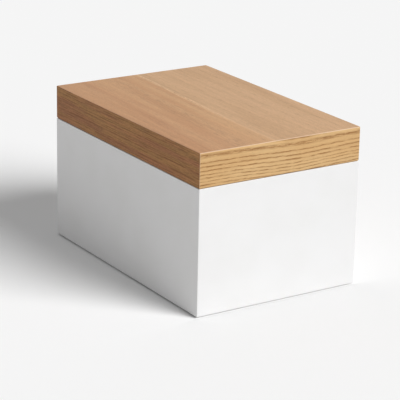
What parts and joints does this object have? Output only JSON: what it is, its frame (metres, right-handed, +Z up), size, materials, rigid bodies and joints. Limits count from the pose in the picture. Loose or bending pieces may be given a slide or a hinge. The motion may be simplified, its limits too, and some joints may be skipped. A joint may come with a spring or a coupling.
{
  "type": "storage box",
  "caption": "Rectangular desk storage box: a white lacquered carcass with a thick oak lid that lifts off and lands on a hidden lip.",
  "frame": {"origin": "on the floor, in the middle of the box's footprint", "axes": "+Z up; the long side runs along Y; the short front faces -Y; +X is to the right when looking at the front"},
  "size_m": [0.16, 0.24, 0.1416],
  "materials": {
    "white_lacquer": "satin white lacquer over a sanded board",
    "oak_veneer": "oak veneer with a clear matt lacquer",
    "birch_plywood": "bare plywood, hidden in the joints",
    "grey_felt": "pressed wool felt"
  },
  "bodies": {
    "carcass": {"wall_front": "white_lacquer", "wall_right": "white_lacquer", "wall_back": "white_lacquer", "wall_left": "white_lacquer", "wall_spline_front_left": "birch_plywood", "wall_spline_front_right": "birch_plywood", "wall_spline_back_right": "birch_plywood", "wall_spline_back_left": "birch_plywood", "base_panel": "white_lacquer", "liner_front": "white_lacquer", "liner_right": "white_lacquer", "liner_back": "white_lacquer", "liner_left": "white_lacquer", "pad_front_left": "grey_felt", "pad_front_right": "grey_felt", "pad_back_right": "grey_felt", "pad_back_left": "grey_felt"},
    "lid": {"lid_panel": "oak_veneer", "lid_rail_front": "oak_veneer", "lid_rail_right": "oak_veneer", "lid_rail_back": "oak_veneer", "lid_rail_left": "oak_veneer", "lid_spline_front_left": "birch_plywood", "lid_spline_front_right": "birch_plywood", "lid_spline_back_right": "birch_plywood", "lid_spline_back_left": "birch_plywood"}
  },
  "joints": [
    {"name": "lid_lift", "type": "slide", "parent": "carcass", "child": "lid", "axis": [0, 0, 1], "range_m": [0, 0.15]}
  ]
}
